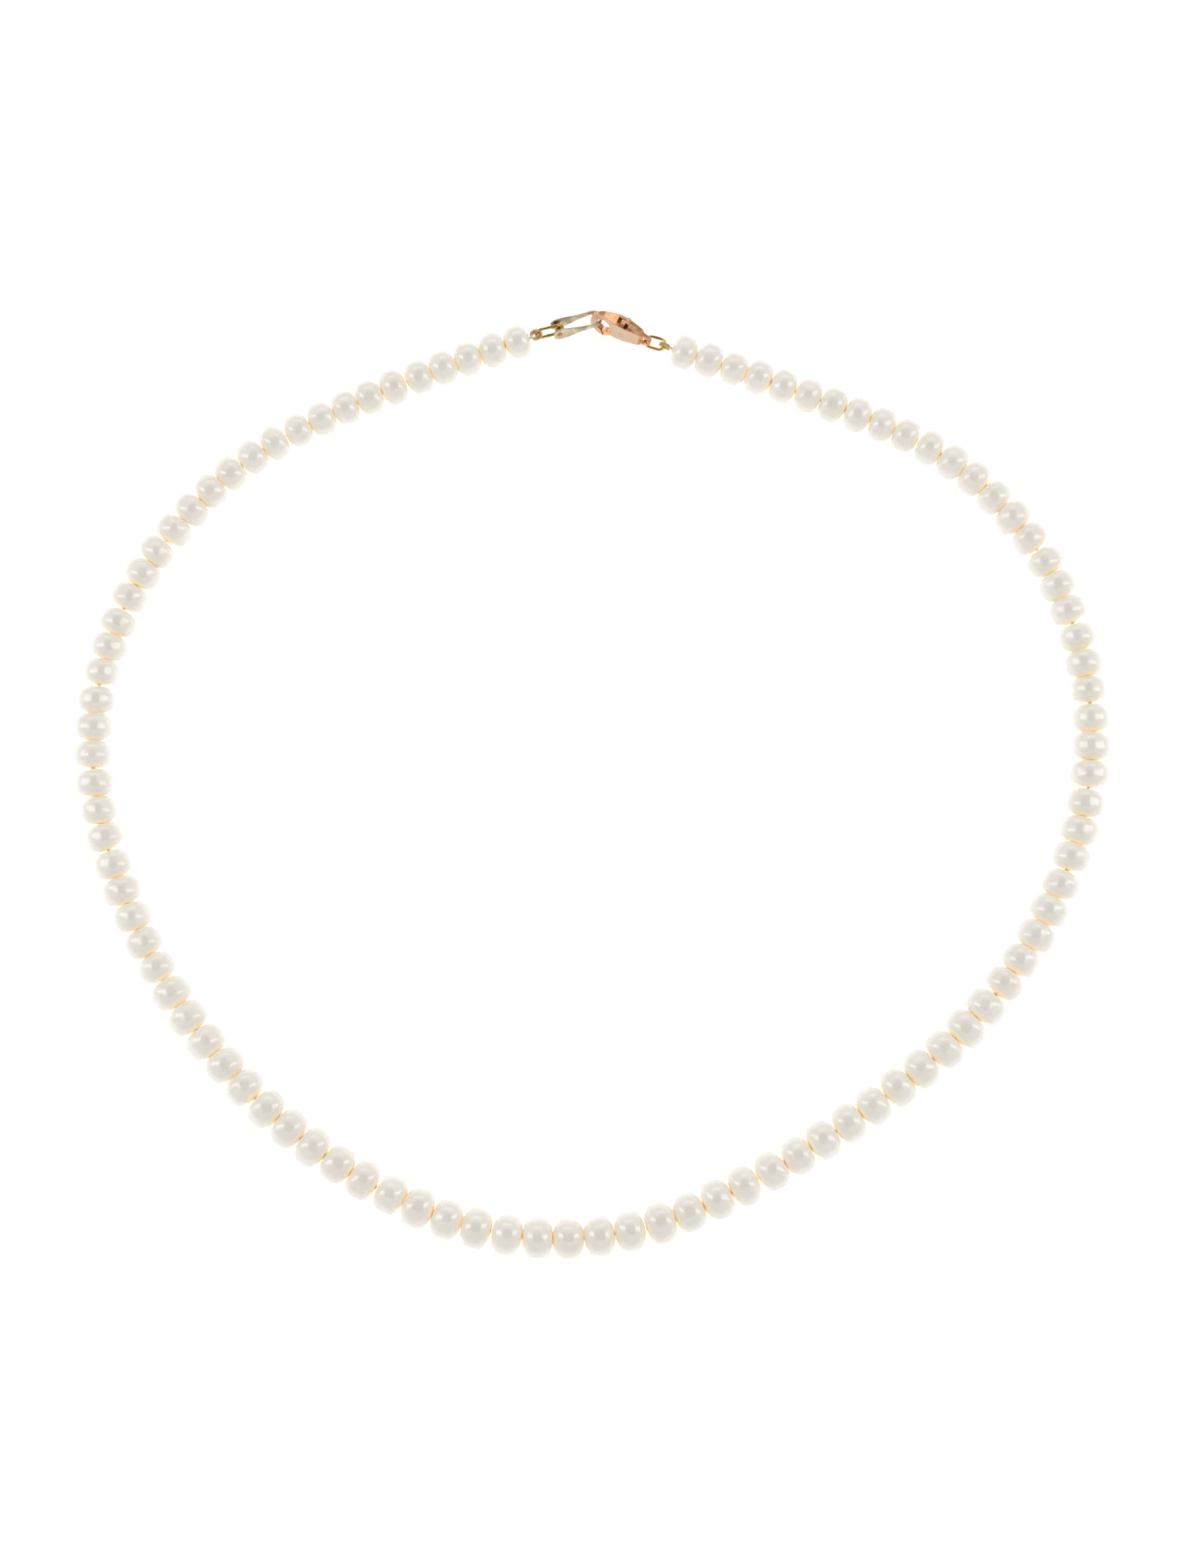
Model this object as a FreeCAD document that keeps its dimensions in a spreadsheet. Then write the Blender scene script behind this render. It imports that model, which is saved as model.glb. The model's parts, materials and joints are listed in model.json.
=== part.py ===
"""Graduated pearl necklace on a silk thread, lying closed on a table.

Frame: +Z up from the table, +Y towards the clasp, +X across the loop.
The origin is the middle of the loop at table height. Lengths are millimetres.
"""
import FreeCAD, Part
import math
import os
import Sketcher

Vector = FreeCAD.Vector
UP = Vector(0, 0, 1)
ORIGIN = Vector(0, 0, 0)

# ---------------------------------------------------------------- driving sizes
SIZES = [
    ("first_width", 5.1, "pearls 1 to 11 from the left clasp end, across the drill"),
    ("second_width", 5.2, "pearls 12 to 22"),
    ("third_width", 5.4, "pearls 23 to 33"),
    ("fourth_width", 5.7, "pearls 34 to 44"),
    ("fifth_width", 5.8, "pearls 45 to 55, the front of the strand"),
    ("sixth_width", 5.7, "pearls 56 to 66"),
    ("seventh_width", 5.5, "pearls 67 to 77"),
    ("eighth_width", 5.3, "pearls 78 to 88"),
    ("ninth_width", 5.1, "pearls 89 to 99, to the right clasp end"),
    ("pitch_ratio", 0.725, "pearl spacing over pearl width"),
    ("pearl_gap", 0.14, "ease between neighbouring pearls on the thread"),
    ("rim_ratio", 0.30, "rim curve radius over pearl width"),
    ("drill_radius", 0.35, "drill hole in a pearl"),
    ("thread_radius", 0.175, "silk stringing thread"),
    ("thread_ease", 0.06, "each section's thread short of the joint with the next"),
    ("thread_height", 2.9, "thread above the table"),
    ("start_x", -8.8, "left end of the strand"),
    ("start_y", 62.4, "left end of the strand"),
    ("start_heading", 198.0, "direction in which the strand leaves its left end, degrees"),
    ("ring_wire_radius", 0.22, "oval jump ring wire"),
    ("left_ring_length", 3.85, "left oval ring, between the middles of its ends"),
    ("right_ring_length", 2.832, "right oval ring, between the middles of its ends"),
    ("ring_bend_radius", 0.86, "end bend of an oval ring, to the middle of the wire"),
    ("ring_ease", 0.06, "play between a ring and a thread loop or the post"),
    ("tail_ease", 0.22, "play between the right ring and the tail eye"),
    ("hook_ease", 0.47, "play between the hook and the fold of the catch link"),
    ("gimp_radius", 0.30, "outside of the wound wire sleeve over a thread loop"),
    ("gimp_bore", 0.19, "inside of the wound wire sleeve"),
    ("loop_radius", 0.66, "thread loop, to the middle of the thread"),
    ("loop_reach", 0.95, "middle of the thread loop beyond the last pearl"),
    ("strip_thickness", 0.28, "folded strip of the catch link"),
    ("strip_bend_radius", 1.2, "fold of the catch link, to the middle of the strip"),
    ("strip_leg", 5.18, "post to fold centre of the catch link"),
    ("strip_end_spread", 0.95, "half the spread of the strip's two ends"),
    ("strip_overhang", 0.75, "strip beyond the post"),
    ("paddle_width", 1.8, "width of the strip's two ends"),
    ("fold_width", 0.62, "width of the strip at its fold"),
    ("post_radius", 0.42, "barrel post between the strip's ends"),
    ("tenon_radius", 0.2, "riveted ends of the barrel post"),
    ("claw_thickness", 2.0, "clasp body across its cheeks"),
    ("hook_radius", 2.1, "outside of the clasp's hook"),
    ("eye_radius", 1.22, "inside of the clasp's hook"),
    ("tail_x", 8.2, "tail eye centre from the hook's outer end"),
    ("tail_drop", 0.1, "tail eye centre below the hook's centre"),
    ("tail_radius", 0.95, "outside of the tail eye"),
    ("tail_hole_radius", 0.56, "hole in the tail eye"),
    ("slot_width", 1.0, "slot for the lever"),
    ("slot_start", 3.8, "near end of the slot from the hook's outer end"),
    ("slot_end", 7.2, "far end of the slot"),
    ("jaw_angle", -31, "where the hook meets the cheeks, degrees round the hook"),
    ("tip_reach", 3.40, "lever pivot to the tip of the hook"),
    ("gate_ease", 0.05, "gap between the gate's tip and the hook's tip"),
    ("lever_thickness", 0.9, "lever in its slot"),
    ("pivot_x", 4.9, "lever pivot from the hook's outer end"),
    ("pivot_rise", 0.2, "lever pivot above the hook's centre"),
    ("pin_radius", 0.25, "lever rivet"),
    ("lever_bore_radius", 0.28, "hole in the lever for the rivet"),
    ("spring_radius", 0.42, "torsion spring round the rivet, to the middle of the wire"),
    ("spring_wire_radius", 0.08, "torsion spring wire"),
    ("spring_turns", 1.8, "turns of the torsion spring"),
]
WIDTHS = ["first_width", "second_width", "third_width", "fourth_width", "fifth_width",
          "sixth_width", "seventh_width", "eighth_width", "ninth_width"]
# Bend radius of the strand over each stretch of nine pearls, from the left clasp end.
BENDS = [235, 54, 47, 81, 75, 46, 145, 65, 51, 44, 322]
# Pearls in each section of the strand, from the left clasp end to the right one.
LEFT_SECTIONS = [5, 5, 6, 3, 3, 3, 3, 5, 5, 5, 4]
FRONT_SECTION = 5
PEARLS_PER_WIDTH = 11
PEARLS_PER_BEND = 9

doc = FreeCAD.newDocument("pearl_necklace")
sheet = doc.addObject("Spreadsheet::Sheet", "sizes")
for row, (alias, value, note) in enumerate(SIZES, start=1):
    sheet.set("A%d" % row, alias)
    sheet.set("B%d" % row, str(value))
    sheet.set("C%d" % row, note)
    sheet.setAlias("B%d" % row, alias)
for number, bend in enumerate(BENDS, start=1):
    row = len(SIZES) + number
    sheet.set("A%d" % row, "bend_%s" % chr(96 + number))
    sheet.set("B%d" % row, str(bend))
    sheet.setAlias("B%d" % row, "bend_%s" % chr(96 + number))
doc.recompute()


def size(alias):
    """The value of one driving size."""
    return float(sheet.get(alias))


nodes = []


def keep(obj, label):
    """Name an object as one of the necklace's kept pieces."""
    obj.Label = label
    nodes.append(obj)
    return obj


# ---------------------------------------------------------------- sketch helpers
def new_sketch(body, name, role):
    """A sketch on one of the body's own origin planes."""
    plane = [f for f in body.Origin.OriginFeatures if f.Role == role][0]
    sketch = body.newObject("Sketcher::SketchObject", name)
    sketch.AttachmentSupport = [(plane, "")]
    sketch.MapMode = "FlatFace"
    return sketch


def bind(sketch, constraint, name, expression):
    """Add a dimension and tie it to the sheet."""
    index = sketch.addConstraint(constraint)
    sketch.renameConstraint(index, name)
    sketch.setExpression("Constraints." + name, expression)


def arc(centre, radius, start, end):
    """A circular arc in a sketch, anticlockwise, in degrees."""
    circle = Part.Circle(Vector(centre[0], centre[1], 0), UP, radius)
    return Part.ArcOfCircle(circle, math.radians(start), math.radians(end))


def line(start, end):
    """A straight line in a sketch."""
    return Part.LineSegment(Vector(start[0], start[1], 0), Vector(end[0], end[1], 0))


def outline(sketch, pieces):
    """Add a closed outline whose pieces follow one another, each locked where it is drawn."""
    first = sketch.GeometryCount
    for piece in pieces:
        sketch.addGeometry(piece, False)
    for index in range(first, first + len(pieces)):
        sketch.addConstraint(Sketcher.Constraint("Block", index))


def flip(point):
    """The point mirrored across the local X axis."""
    return (point[0], -point[1])


def polar(centre, radius, angle):
    """The point at a distance and direction from a centre."""
    turn = math.radians(angle)
    return (centre[0] + radius * math.cos(turn), centre[1] + radius * math.sin(turn))


def polygon(corners):
    """The closed run of lines through some corners."""
    return [line(a, b) for a, b in zip(corners, corners[1:] + corners[:1])]


def pocket(body, sketch, name, length=None):
    """Cut a sketch out of a body, both ways: right through, or to a stated width."""
    before = body.Shape.Volume
    cut = body.newObject("PartDesign::Pocket", name)
    cut.Profile = sketch
    cut.Midplane = True
    if length is None:
        cut.Length = 20
    else:
        cut.setExpression("Length", length)
    doc.recompute()
    if body.Shape.Volume >= before:
        raise SystemExit(name + " cut nothing")
    return cut


def cut_through(body, name, role, corners, length=None):
    """Cut a polygon out of a body."""
    sketch = new_sketch(body, name + "_outline", role)
    outline(sketch, polygon(corners))
    return pocket(body, sketch, name, length)


# ---------------------------------------------------------------- pearls
def pearl_master(number, width_alias):
    """One pearl of a grade: a four-centre oval turned about the drill axis, drilled."""
    width = size(width_alias)
    depth = width * size("pitch_ratio") - size("pearl_gap")
    rim = width * size("rim_ratio")
    rise = width / 2 - rim
    pole = ((depth / 2) ** 2 + rise ** 2 - rim ** 2) / (2 * (depth / 2 - rim))
    drill = size("drill_radius")
    turn = math.degrees(math.atan2(rise, pole - depth / 2))
    mouth = math.degrees(math.asin(drill / pole))
    mouth_x = depth / 2 - pole + pole * math.cos(math.radians(mouth))
    body = doc.addObject("PartDesign::Body", "pearl_grade_%d" % number)
    sketch = new_sketch(body, "pearl_profile_%d" % number, "XY_Plane")
    sketch.addGeometry(line((-mouth_x, drill), (mouth_x, drill)), False)
    sketch.addGeometry(arc((depth / 2 - pole, 0), pole, mouth, turn), False)
    sketch.addGeometry(arc((0, rise), rim, turn, 180 - turn), False)
    sketch.addGeometry(arc((pole - depth / 2, 0), pole, 180 - turn, 180 - mouth), False)
    joints = [(0, 2, 1, 1), (1, 2, 2, 1), (2, 2, 3, 1), (3, 2, 0, 1)]
    for a, a_end, b, b_end in joints:
        kind = "Tangent" if (a, b) in ((1, 2), (2, 3)) else "Coincident"
        sketch.addConstraint(Sketcher.Constraint(kind, a, a_end, b, b_end))
    sketch.addConstraint(Sketcher.Constraint("PointOnObject", 1, 3, -1))
    sketch.addConstraint(Sketcher.Constraint("PointOnObject", 2, 3, -2))
    sketch.addConstraint(Sketcher.Constraint("PointOnObject", 3, 3, -1))
    sketch.addConstraint(Sketcher.Constraint("Horizontal", 0))
    sketch.addConstraint(Sketcher.Constraint("Equal", 1, 3))
    half_width = "sizes.%s / 2" % width_alias
    half_depth = "(sizes.%s * sizes.pitch_ratio - sizes.pearl_gap) / 2" % width_alias
    rim_size = "sizes.%s * sizes.rim_ratio" % width_alias
    rise_size = "%s - %s" % (half_width, rim_size)
    pole_size = "((%s)^2 + (%s)^2 - (%s)^2) / (2 * (%s - %s))" % (
        half_depth, rise_size, rim_size, half_depth, rim_size)
    bind(sketch, Sketcher.Constraint("Radius", 2, rim), "rim", rim_size)
    bind(sketch, Sketcher.Constraint("DistanceY", -1, 1, 2, 3, rise), "rise", rise_size)
    bind(sketch, Sketcher.Constraint("Radius", 1, pole), "pole", pole_size)
    bind(sketch, Sketcher.Constraint("DistanceY", -1, 1, 0, 1, drill), "drill", "sizes.drill_radius")
    turned = body.newObject("PartDesign::Revolution", "pearl_turned_%d" % number)
    turned.Profile = sketch
    turned.ReferenceAxis = (sketch, ["H_Axis"])
    turned.Angle = 360
    return body


masters = [pearl_master(number, alias) for number, alias in enumerate(WIDTHS, start=1)]
doc.recompute()


# ---------------------------------------------------------------- the strand's route
class Spot:
    """A place on the strand: position in the table plane and heading in degrees."""

    def __init__(self, x, y, heading):
        self.x = x
        self.y = y
        self.heading = heading

    def ahead(self, length, bend):
        """The spot this far along an arc that turns left with the given radius."""
        turn = math.degrees(length / bend)
        chord = 2 * bend * math.sin(math.radians(turn / 2))
        middle = math.radians(self.heading + turn / 2)
        x = self.x + chord * math.cos(middle)
        y = self.y + chord * math.sin(middle)
        return Spot(x, y, self.heading + turn)

    def point(self):
        """The spot at thread height."""
        return Vector(self.x, self.y, size("thread_height"))


def half_pitch(index):
    """Half the length of thread that one pearl takes up."""
    return size(WIDTHS[index // PEARLS_PER_WIDTH]) * size("pitch_ratio") / 2


def bend_at(index):
    """The strand's bend radius at one pearl."""
    return size("bend_%s" % chr(97 + index // PEARLS_PER_BEND))


SECTIONS = LEFT_SECTIONS + [FRONT_SECTION] + LEFT_SECTIONS[::-1]
PEARL_COUNT = sum(SECTIONS)
spot = Spot(size("start_x"), size("start_y"), size("start_heading"))
joins = [spot]
middles = []
for index in range(PEARL_COUNT):
    spot = spot.ahead(half_pitch(index), bend_at(index))
    middles.append(spot)
    spot = spot.ahead(half_pitch(index), bend_at(index))
    joins.append(spot)


def section_name(number):
    """left_01 is beside the clasp on the left; right_01 beside it on the right."""
    last = len(LEFT_SECTIONS)
    if number < last:
        return "left_%02d" % (number + 1)
    if number == last:
        return "front"
    return "right_%02d" % (len(SECTIONS) - number)


def thread_path(first, last):
    """The thread's line through a run of pearls: one arc a pearl, all tangent."""
    ease = size("thread_ease")
    edges = []
    for index in range(first, last):
        start = joins[index]
        end = joins[index + 1]
        if index == first:
            start = start.ahead(ease, bend_at(index))
        if index == last - 1:
            end = middles[index].ahead(half_pitch(index) - ease, bend_at(index))
        edges.append(Part.Arc(start.point(), middles[index].point(), end.point()).toShape())
    return Part.Wire(edges)


def pipe(path, radius):
    """A round solid along a path."""
    edge = path.Edges[0]
    start = edge.valueAt(edge.FirstParameter)
    tangent = edge.tangentAt(edge.FirstParameter)
    ring = Part.Wire(Part.makeCircle(radius, start, tangent))
    return path.makePipeShell([ring], True, True)


section_bounds = []
first = 0
for number, count in enumerate(SECTIONS):
    last = first + count
    section_bounds.append((first, last))
    placed = []
    for index in range(first, last):
        master = masters[index // PEARLS_PER_WIDTH].Shape.copy()
        turn = FreeCAD.Rotation(UP, middles[index].heading)
        master.Placement = FreeCAD.Placement(middles[index].point(), turn)
        placed.append(master)
    pearls = doc.addObject("Part::Feature", "pearls_" + section_name(number))
    pearls.Shape = Part.makeCompound(placed)
    pearls.Placement = FreeCAD.Placement(ORIGIN, FreeCAD.Rotation())
    keep(pearls, "pearls_" + section_name(number))
    first = last


# ---------------------------------------------------------------- clasp layout
class Seat:
    """Where a clasp piece lies: its local origin, heading and roll about its length."""

    def __init__(self, x, y, heading, roll):
        turn = FreeCAD.Rotation(UP, heading)
        tip = FreeCAD.Rotation(Vector(1, 0, 0), roll)
        self.placement = FreeCAD.Placement(Vector(x, y, size("thread_height")), turn.multiply(tip))

    def at(self, x, y=0.0, z=0.0):
        """A local point in the necklace's frame."""
        return self.placement.multVec(Vector(x, y, z))


def seat_from(point, heading, roll):
    """A seat whose local origin is a point that another piece gives."""
    return Seat(point.x, point.y, heading, roll)


# How each clasp piece lies: heading in the table plane and roll about its length, degrees.
LAYS = {
    "left_loop": (30, -23),
    "left_ring": (14, 67),
    "link": (17, -23),
    "claw": (-23.2, 70),
    "right_loop": (157, 90),
}
RIGHT_RING_ROLL = -12

left_end = joins[0]
right_end = joins[-1]
left_loop_seat = Seat(left_end.x, left_end.y, *LAYS["left_loop"])
loop_catch = size("loop_reach") + size("ring_ease")
left_ring_seat = seat_from(left_loop_seat.at(loop_catch), *LAYS["left_ring"])
post_step = size("left_ring_length") - size("ring_wire_radius") - size("post_radius") - size("ring_ease")
link_seat = seat_from(left_ring_seat.at(post_step), *LAYS["link"])
hook_middle = (size("hook_radius") - size("eye_radius")) / 2
link_inside = size("strip_leg") + size("strip_bend_radius") - size("strip_thickness") / 2
hook_point = link_seat.at(link_inside - size("hook_ease") - hook_middle)
claw_heading, claw_roll = LAYS["claw"]
claw_turn = math.radians(claw_heading)
claw_seat = Seat(hook_point.x - hook_middle * math.cos(claw_turn),
                 hook_point.y - hook_middle * math.sin(claw_turn), claw_heading, claw_roll)
tail_catch = size("tail_x") + size("tail_hole_radius") - size("ring_wire_radius") - size("tail_ease")
tail_point = claw_seat.at(tail_catch, -size("tail_drop"))
right_loop_seat = Seat(right_end.x, right_end.y, *LAYS["right_loop"])
right_catch = right_loop_seat.at(loop_catch)
right_ring_heading = math.degrees(math.atan2(right_catch.y - tail_point.y, right_catch.x - tail_point.x))
right_ring_seat = seat_from(tail_point, right_ring_heading, RIGHT_RING_ROLL)


# ---------------------------------------------------------------- thread
# Half the sweep of a thread loop's bend in degrees, and the thread led into the last pearl.
LOOP_SPREAD = 145
LEAD_LENGTH = 0.6


def loop_path(seat):
    """A thread loop out of the last pearl's drill hole and back into it."""
    reach = size("loop_reach")
    radius = size("loop_radius")
    spread = math.radians(LOOP_SPREAD)
    top = seat.at(reach + radius * math.cos(spread), radius * math.sin(spread))
    low = seat.at(reach + radius * math.cos(spread), -radius * math.sin(spread))
    far = seat.at(reach + radius)
    return top, far, low


def thread_loop(seat):
    """The bare loop: two short legs and the bend round the ring."""
    top, far, low = loop_path(seat)
    mouth = seat.at(size("loop_reach") - size("loop_radius") / math.sin(math.radians(LOOP_SPREAD - 90)))
    edges = [Part.LineSegment(mouth, top).toShape(), Part.Arc(top, far, low).toShape(),
             Part.LineSegment(low, mouth).toShape()]
    bend = pipe(Part.Wire(edges[1]), size("thread_radius"))
    legs = [Part.makeCylinder(size("thread_radius"), e.Length, e.valueAt(e.FirstParameter),
                              e.tangentAt(e.FirstParameter)) for e in (edges[0], edges[2])]
    knuckle = Part.makeSphere(size("thread_radius"), mouth)
    inner = seat.at(-LEAD_LENGTH)
    lead = Part.makeCylinder(size("thread_radius"), (mouth - inner).Length, inner, mouth - inner)
    return bend.fuse(legs + [knuckle, lead])


for number, (first, last) in enumerate(section_bounds):
    solid = pipe(thread_path(first, last), size("thread_radius"))
    if number == 0:
        solid = solid.fuse(thread_loop(left_loop_seat)).removeSplitter()
    if number == len(SECTIONS) - 1:
        solid = solid.fuse(thread_loop(right_loop_seat)).removeSplitter()
    thread = doc.addObject("Part::Feature", "thread_" + section_name(number))
    thread.Shape = solid
    thread.Placement = FreeCAD.Placement(ORIGIN, FreeCAD.Rotation())
    keep(thread, "thread_" + section_name(number))


# ---------------------------------------------------------------- gimp sleeves
def gimp_sleeve(label, seat):
    """The wound wire sleeve that guards the thread where it bears on a ring."""
    top, far, low = loop_path(seat)
    path = Part.Wire(Part.Arc(top, far, low).toShape())
    sleeve = pipe(path, size("gimp_radius")).cut(pipe(path, size("gimp_bore")))
    obj = doc.addObject("Part::Feature", label)
    obj.Shape = sleeve
    obj.Placement = FreeCAD.Placement(ORIGIN, FreeCAD.Rotation())
    return keep(obj, label)


gimp_sleeve("gimp_left", left_loop_seat)
gimp_sleeve("gimp_right", right_loop_seat)


# ---------------------------------------------------------------- oval jump rings
def oval_ring(label, seat, length_alias):
    """A soldered oval jump ring, its left end's middle at the seat, in the local XY plane."""
    bend = size("ring_bend_radius")
    run = size(length_alias) - 2 * bend
    body = doc.addObject("PartDesign::Body", label)
    path = new_sketch(body, label + "_path", "XY_Plane")
    path.addGeometry(arc((bend, 0), bend, 90, 270), False)
    path.addGeometry(line((bend, -bend), (bend + run, -bend)), False)
    path.addGeometry(arc((bend + run, 0), bend, 270, 450), False)
    path.addGeometry(line((bend + run, bend), (bend, bend)), False)
    for a, b in ((0, 1), (1, 2), (2, 3), (3, 0)):
        path.addConstraint(Sketcher.Constraint("Tangent", a, 2, b, 1))
    path.addConstraint(Sketcher.Constraint("Horizontal", 1))
    path.addConstraint(Sketcher.Constraint("PointOnObject", 0, 3, -1))
    bind(path, Sketcher.Constraint("Radius", 0, bend), "bend", "sizes.ring_bend_radius")
    bind(path, Sketcher.Constraint("DistanceX", -1, 1, 0, 3, bend), "near", "sizes.ring_bend_radius")
    bind(path, Sketcher.Constraint("DistanceX", 0, 3, 2, 3, run), "run",
         "sizes.%s - 2 * sizes.ring_bend_radius" % length_alias)
    section = new_sketch(body, label + "_section", "YZ_Plane")
    section.AttachmentOffset = FreeCAD.Placement(Vector(0, 0, bend + run / 2), FreeCAD.Rotation())
    wire = size("ring_wire_radius")
    section.addGeometry(Part.Circle(Vector(-bend, 0, 0), UP, wire), False)
    section.addConstraint(Sketcher.Constraint("PointOnObject", 0, 3, -1))
    bind(section, Sketcher.Constraint("Radius", 0, wire), "wire", "sizes.ring_wire_radius")
    bind(section, Sketcher.Constraint("DistanceX", 0, 3, -1, 1, bend), "offset", "sizes.ring_bend_radius")
    doc.recompute()
    sweep = body.newObject("PartDesign::AdditivePipe", label + "_sweep")
    sweep.Profile = section
    sweep.Spine = (path, ["Edge1", "Edge2", "Edge3", "Edge4"])
    body.Placement = seat.placement
    return keep(body, label)


oval_ring("jump_ring_left", left_ring_seat, "left_ring_length")
oval_ring("jump_ring_right", right_ring_seat, "right_ring_length")

# ---------------------------------------------------------------- catch link
def catch_link():
    """A strip of sheet folded into a teardrop, wide at its open ends, narrow at its fold."""
    half = size("strip_thickness") / 2
    fold = size("strip_bend_radius")
    leg = size("strip_leg")
    spread = size("strip_end_spread")
    lean = math.asin(fold / math.hypot(leg, spread)) - math.atan2(spread, leg)
    body = doc.addObject("PartDesign::Body", "catch_link")
    sketch = new_sketch(body, "strip_side", "XY_Plane")
    tangent = 90 + math.degrees(lean)
    start = -size("strip_overhang")
    reach = (leg - start) / math.cos(lean)
    ends = []
    for radius in (fold + half, fold - half):
        touch = polar((leg, 0), radius, tangent)
        ends.append((touch, (touch[0] - reach * math.cos(lean), touch[1] - reach * math.sin(lean))))
    (outer_touch, outer_end), (inner_touch, inner_end) = ends
    outline(sketch, [
        arc((leg, 0), fold + half, -tangent, tangent),
        line(outer_touch, outer_end),
        line(outer_end, inner_end),
        line(inner_end, inner_touch),
        arc((leg, 0), fold - half, -tangent, tangent),
        line(flip(inner_touch), flip(inner_end)),
        line(flip(inner_end), flip(outer_end)),
        line(flip(outer_end), flip(outer_touch)),
    ])
    pad = body.newObject("PartDesign::Pad", "strip_pad")
    pad.Profile = sketch
    pad.Midplane = True
    pad.setExpression("Length", "sizes.paddle_width")
    doc.recompute()
    wide = size("paddle_width") / 2
    narrow = size("fold_width") / 2
    taper = [(start - 0.1, 0.6 * wide), (start + 0.05, 0.7 * wide), (start + 0.6, wide),
             (0.8, wide), (3.1, 1.25 * narrow), (leg - 0.7, narrow), (leg + 2, narrow),
             (leg + 2, 2 * wide), (start - 0.1, 2 * wide)]
    cut_through(body, "upper_taper", "XZ_Plane", taper)
    cut_through(body, "lower_taper", "XZ_Plane", [flip(corner) for corner in taper])
    bore = new_sketch(body, "post_hole", "XZ_Plane")
    bore.addGeometry(Part.Circle(ORIGIN, UP, size("tenon_radius")), False)
    pocket(body, bore, "post_holes")
    body.Placement = link_seat.placement
    return keep(body, "catch_link")


catch_link()


def link_post():
    """The turned barrel between the strip's ends, its tenons riveted over outside."""
    inside = size("strip_end_spread") - size("strip_thickness") / 2 - 0.02
    outside = size("strip_end_spread") + size("strip_thickness") / 2 + 0.02
    barrel = size("post_radius")
    half = [(0.08, outside + 0.16), (0.3, outside + 0.1), (0.34, outside), (size("tenon_radius"), outside),
            (size("tenon_radius"), inside), (barrel + 0.06, inside), (barrel + 0.06, inside - 0.12),
            (barrel, inside - 0.18)]
    corners = [(0, outside + 0.16)] + half + [flip(c) for c in half[::-1]] + [(0, -outside - 0.16)]
    body = doc.addObject("PartDesign::Body", "link_post")
    sketch = new_sketch(body, "post_profile", "XY_Plane")
    outline(sketch, polygon(corners))
    turned = body.newObject("PartDesign::Revolution", "post_turned")
    turned.Profile = sketch
    turned.ReferenceAxis = (sketch, ["V_Axis"])
    turned.Angle = 360
    body.Placement = link_seat.placement
    return keep(body, "link_post")


link_post()


# ---------------------------------------------------------------- lobster clasp
def circles_meet(a, a_radius, b, b_radius):
    """The lower of the two points where two circles cross."""
    gap = math.hypot(b[0] - a[0], b[1] - a[1])
    along = (gap ** 2 + a_radius ** 2 - b_radius ** 2) / (2 * gap)
    aside = math.sqrt(a_radius ** 2 - along ** 2)
    unit = ((b[0] - a[0]) / gap, (b[1] - a[1]) / gap)
    points = [(a[0] + along * unit[0] - s * aside * unit[1], a[1] + along * unit[1] + s * aside * unit[0])
              for s in (1, -1)]
    return min(points, key=lambda point: point[1])


def bearing(centre, point):
    """The direction from a centre to a point, in degrees."""
    return math.degrees(math.atan2(point[1] - centre[1], point[0] - centre[0]))


HOOK = (size("hook_radius"), 0.0)
PIVOT = (size("pivot_x"), size("pivot_rise"))
TAIL = (size("tail_x"), -size("tail_drop"))


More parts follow.
